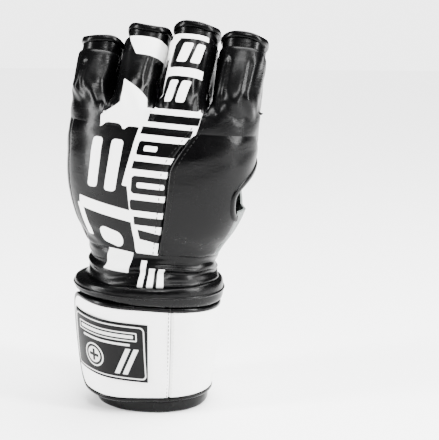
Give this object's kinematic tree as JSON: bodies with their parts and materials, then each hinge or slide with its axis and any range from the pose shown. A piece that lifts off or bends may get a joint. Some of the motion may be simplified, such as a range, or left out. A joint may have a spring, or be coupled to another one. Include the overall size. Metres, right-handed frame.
{
  "type": "mma glove",
  "caption": "Left-hand open-palm grappling glove with padded knuckles and finger pads, free fingertips, thumb hole, padded palm and a wrap-round wrist strap.",
  "frame": {"origin": "on the ground, under the middle of the glove's bounding box, with the glove standing on its cuff", "axes": "+Z from the cuff to the fingertips, -Y out of the back of the hand, +X to the thumb side"},
  "size_m": [0.1257, 0.0832, 0.2452],
  "materials": {
    "black_leather": "glossy smooth synthetic leather",
    "printed_leather": "glossy synthetic leather with a white print of plain blocks and bars",
    "white_leather": "smooth white synthetic leather",
    "grey_leather": "matt grained synthetic leather",
    "black_fabric": "hook and loop tape",
    "grey_fabric": "knitted lining",
    "black_rubber": "moulded label, satin",
    "foam": "closed-cell foam"
  },
  "bodies": {
    "cuff": {"cuff_sleeve": "black_leather", "cuff_foot_rim": "black_leather", "cuff_top_rim": "black_leather", "strap_wrap": "white_leather", "strap_wrap_binding_low": "black_leather", "strap_wrap_binding_high": "black_leather", "strap_loop_patch": "black_fabric"},
    "strap_tab": {"strap_tab": "white_leather", "strap_tab_binding": "black_leather", "strap_hook_patch": "black_fabric", "strap_label": "black_rubber"},
    "hand": {"wrist_sleeve": "black_leather", "back_cover": "printed_leather", "thumb_side_cover": "black_leather", "little_side_cover": "black_leather", "palm_cover": "grey_leather", "palm_lining": "grey_fabric", "back_foam": "foam", "back_lining": "grey_fabric", "palm_pad_cover": "grey_leather", "palm_pad_foam": "foam", "palm_slot_binding": "black_leather", "thumb_hole_binding": "black_leather", "thumb_crotch_strap": "black_leather", "thumb_hole_facing": "grey_leather"},
    "little": {"little_pad_cover": "black_leather", "little_pad_foam": "foam", "little_underside": "black_leather", "little_collar": "black_leather"},
    "ring": {"ring_pad_cover": "printed_leather", "ring_pad_foam": "foam", "ring_underside": "black_leather", "ring_collar": "black_leather"},
    "middle": {"middle_pad_cover": "printed_leather", "middle_pad_foam": "foam", "middle_underside": "black_leather", "middle_collar": "black_leather"},
    "index": {"index_pad_cover": "black_leather", "index_pad_foam": "foam", "index_underside": "black_leather", "index_collar": "black_leather"}
  },
  "joints": [
    {"name": "wrist_flex", "type": "hinge", "parent": "cuff", "child": "hand", "pos_m": [-0.00852, 0.00046, 0.09], "axis": [-0.9962, 0, 0.0872], "range_deg": [-15, 20], "stiffness_Nm_per_rad": 2},
    {"name": "strap_peel", "type": "hinge", "parent": "cuff", "child": "strap_tab", "pos_m": [0.00942, -0.03329, 0.0415], "axis": [0.0367, -0.0607, 0.9975], "range_deg": [0, 110]},
    {"name": "little_flex", "type": "hinge", "parent": "hand", "child": "little", "pos_m": [-0.04478, 0.00046, 0.19757], "axis": [-0.9962, 0, 0.0872], "range_deg": [-8, 45], "stiffness_Nm_per_rad": 0.3},
    {"name": "ring_flex", "type": "hinge", "parent": "hand", "child": "ring", "pos_m": [-0.01589, 0.00046, 0.19504], "axis": [-0.9962, 0, 0.0872], "range_deg": [-8, 45], "stiffness_Nm_per_rad": 0.3},
    {"name": "middle_flex", "type": "hinge", "parent": "hand", "child": "middle", "pos_m": [0.01399, 0.00046, 0.19243], "axis": [-0.9962, 0, 0.0872], "range_deg": [-8, 45], "stiffness_Nm_per_rad": 0.3},
    {"name": "index_flex", "type": "hinge", "parent": "hand", "child": "index", "pos_m": [0.04487, 0.00046, 0.18973], "axis": [-0.9962, 0, 0.0872], "range_deg": [-8, 45], "stiffness_Nm_per_rad": 0.3}
  ]
}
